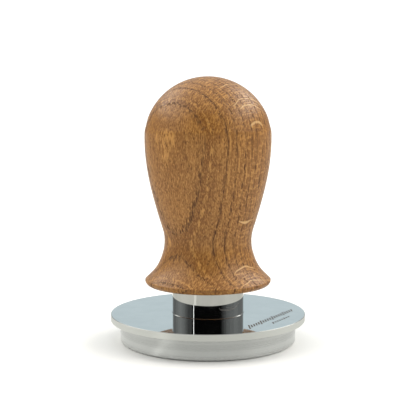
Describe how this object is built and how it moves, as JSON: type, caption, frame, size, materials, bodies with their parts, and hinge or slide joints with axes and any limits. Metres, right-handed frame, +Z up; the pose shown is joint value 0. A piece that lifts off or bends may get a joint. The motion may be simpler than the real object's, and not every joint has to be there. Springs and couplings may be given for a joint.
{
  "type": "espresso tamper",
  "caption": "Round espresso tamper: flat steel tamping base under a wider levelling plate, polished sleeve, and a turned oak handle that slides down on a calibrated spring.",
  "frame": {"origin": "centre of the flat tamping face, on which the tamper stands", "axes": "+Z up the tamper's axis, from the tamping face to the crown of the handle; the tamper is round, so +X and +Y are any two square directions"},
  "size_m": [0.065, 0.065, 0.0878],
  "materials": {
    "turned_steel": "finely turned stainless steel",
    "black_rubber": "matt",
    "column_steel": "ground stainless steel",
    "washer_steel": "stamped stainless steel",
    "spring_steel": "drawn spring wire",
    "white_plastic": "matt",
    "polished_steel": "mirror-polished stainless steel",
    "sleeve_steel": "mirror-polished stainless steel",
    "bush_plastic": "matt acetal",
    "seat_brass": "turned",
    "oak": "oiled oak",
    "housing_steel": "turned stainless steel",
    "screw_steel": "zinc-plated",
    "nut_bronze": "turned bronze"
  },
  "bodies": {
    "base": {"tamping_base": "turned_steel", "bumper_ring": "black_rubber", "centre_column": "column_steel", "stop_washer": "washer_steel", "retaining_clip": "spring_steel", "thrust_washer": "white_plastic"},
    "levelling_carriage": {"levelling_spring": "spring_steel", "spring_washer": "washer_steel"},
    "leveller": {"levelling_plate": "polished_steel", "guide_sleeve": "sleeve_steel", "lower_bush": "bush_plastic", "upper_bush": "bush_plastic"},
    "press_carriage": {"main_spring": "spring_steel", "spring_seat": "seat_brass"},
    "handle": {"handle": "oak", "spring_housing": "housing_steel", "anchor_screw": "screw_steel", "guide_nut": "nut_bronze", "return_ring": "black_rubber"}
  },
  "joints": [
    {"name": "level_slide", "type": "slide", "parent": "base", "child": "levelling_carriage", "axis": [0, 0, 1], "range_m": [0, 0.005], "stiffness_N_per_m": 800, "springref_m": -0.002, "deforming": ["levelling_spring"]},
    {"name": "level_spin", "type": "hinge", "parent": "levelling_carriage", "child": "leveller", "pos_m": [0, 0, 0.0083], "axis": [0, 0, 1], "continuous": true},
    {"name": "handle_press", "type": "slide", "parent": "base", "child": "press_carriage", "axis": [0, 0, -1], "range_m": [0, 0.0035], "stiffness_N_per_m": 10000, "springref_m": -0.0006, "deforming": ["main_spring"]},
    {"name": "handle_spin", "type": "hinge", "parent": "press_carriage", "child": "handle", "pos_m": [0, 0, 0.03834], "axis": [0, 0, 1], "continuous": true}
  ]
}
